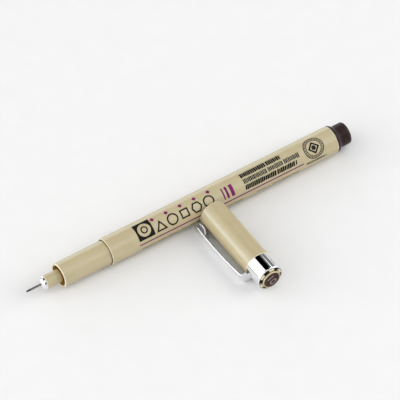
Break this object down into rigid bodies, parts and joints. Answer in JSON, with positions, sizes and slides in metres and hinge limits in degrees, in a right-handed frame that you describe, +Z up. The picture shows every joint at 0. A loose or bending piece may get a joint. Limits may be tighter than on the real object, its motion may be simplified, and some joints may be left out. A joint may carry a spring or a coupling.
{
  "type": "technical pen",
  "caption": "Fine-line technical pen with a needle tip, lying uncapped beside its vented, clipped cap with a bright crown band.",
  "frame": {"origin": "on the table, under the middle of the whole object at rest", "axes": "+X along the pen from its needle tip to its end plug, +Z up, and the cap lies square to the pen on its -Y side"},
  "size_m": [0.1318, 0.0472, 0.0101],
  "materials": {
    "cream_plastic": "satin moulded beige plastic",
    "liner_plastic": "plain moulded pale plastic",
    "brown_plastic": "satin dark brown plastic",
    "disc_plastic": "satin red-brown plastic",
    "band_chrome": "polished",
    "clip_chrome": "polished",
    "tip_chrome": "polished",
    "needle_steel": "drawn tube",
    "nib_fibre": "ink-stained nib",
    "ink_fibre": "ink-soaked fibre",
    "wrap_film": "thin film"
  },
  "bodies": {
    "pen": {"nib_core": "nib_fibre", "needle_tube": "needle_steel", "tip_ferrule": "tip_chrome", "nib_holder": "cream_plastic", "front_section": "cream_plastic", "feed_wick": "ink_fibre", "ink_reservoir": "ink_fibre", "reservoir_wrap": "wrap_film", "barrel": "cream_plastic", "end_plug": "brown_plastic"},
    "cap": {"cap_tube": "cream_plastic", "inner_cap": "liner_plastic", "crown_band": "band_chrome", "crown_insert": "cream_plastic", "colour_disc": "disc_plastic"},
    "clip": {"clip": "clip_chrome"}
  },
  "joints": [
    {"name": "cap_slide", "type": "slide", "parent": "pen", "child": "cap", "axis": [0, -1, 0], "range_m": [0, 0.04]},
    {"name": "clip_flex", "type": "hinge", "parent": "cap", "child": "clip", "pos_m": [0.00287, -0.01644, 0.0035], "axis": [-0.3681, 0, 0.9298], "range_deg": [0, 4], "stiffness_Nm_per_rad": 0.5}
  ]
}
